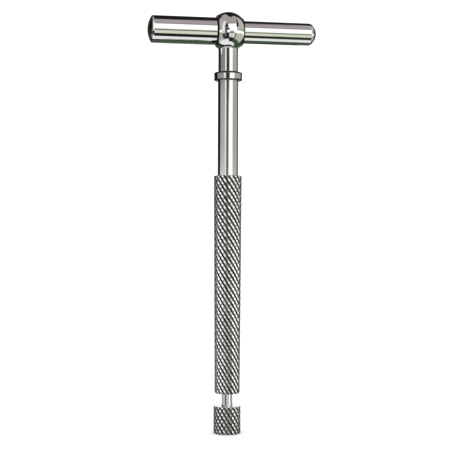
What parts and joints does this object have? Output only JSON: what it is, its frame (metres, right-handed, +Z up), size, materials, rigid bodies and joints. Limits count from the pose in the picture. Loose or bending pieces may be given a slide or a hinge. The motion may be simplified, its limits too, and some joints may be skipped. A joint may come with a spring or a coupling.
{
  "type": "telescoping gauge",
  "caption": "Hand-held telescoping bore gauge: T head with a fixed arm and a spring-loaded plunger, plain shank, knurled grip and a knurled lock knob at the foot.",
  "frame": {"origin": "centre of the knob's flat end face, at the foot of the handle", "axes": "+Z up the handle towards the head, +X along the T towards the plunger, -X along the fixed arm, +Y towards the back"},
  "size_m": [0.054, 0.0124, 0.1324],
  "materials": {
    "polished_steel": "polished",
    "hardened_steel": "polished",
    "knurled_steel": "satin",
    "plain_steel": "satin",
    "spring_steel": "satin",
    "shoe_brass": "satin"
  },
  "bodies": {
    "frame": {"head_body": "polished_steel", "fixed_arm_tube": "polished_steel", "fixed_contact": "hardened_steel", "handle_stem": "polished_steel", "grip_sleeve": "knurled_steel", "plunger_spring": "spring_steel"},
    "plunger": {"plunger_tube": "polished_steel", "plunger_contact": "hardened_steel"},
    "push_rod": {"lock_rod": "plain_steel", "lock_shoe": "shoe_brass"},
    "knob": {"lock_screw": "plain_steel", "lock_knob": "knurled_steel"}
  },
  "joints": [
    {"name": "plunger_slide", "type": "slide", "parent": "frame", "child": "plunger", "axis": [-1, 0, 0], "range_m": [0, 0.02223], "stiffness_N_per_m": 110, "springref_m": -0.0136, "deforming": ["plunger_spring"]},
    {"name": "rod_lift", "type": "slide", "parent": "frame", "child": "push_rod", "axis": [0, 0, 1], "range_m": [0, 0.00025]},
    {"name": "knob_turn", "type": "hinge", "parent": "push_rod", "child": "knob", "pos_m": [0, 0, 0], "axis": [0, 0, 1], "range_deg": [0, 180]}
  ],
  "couplings": [
    {"joint": "knob_turn", "follows": "rod_lift", "rad_per_m": 12566}
  ]
}
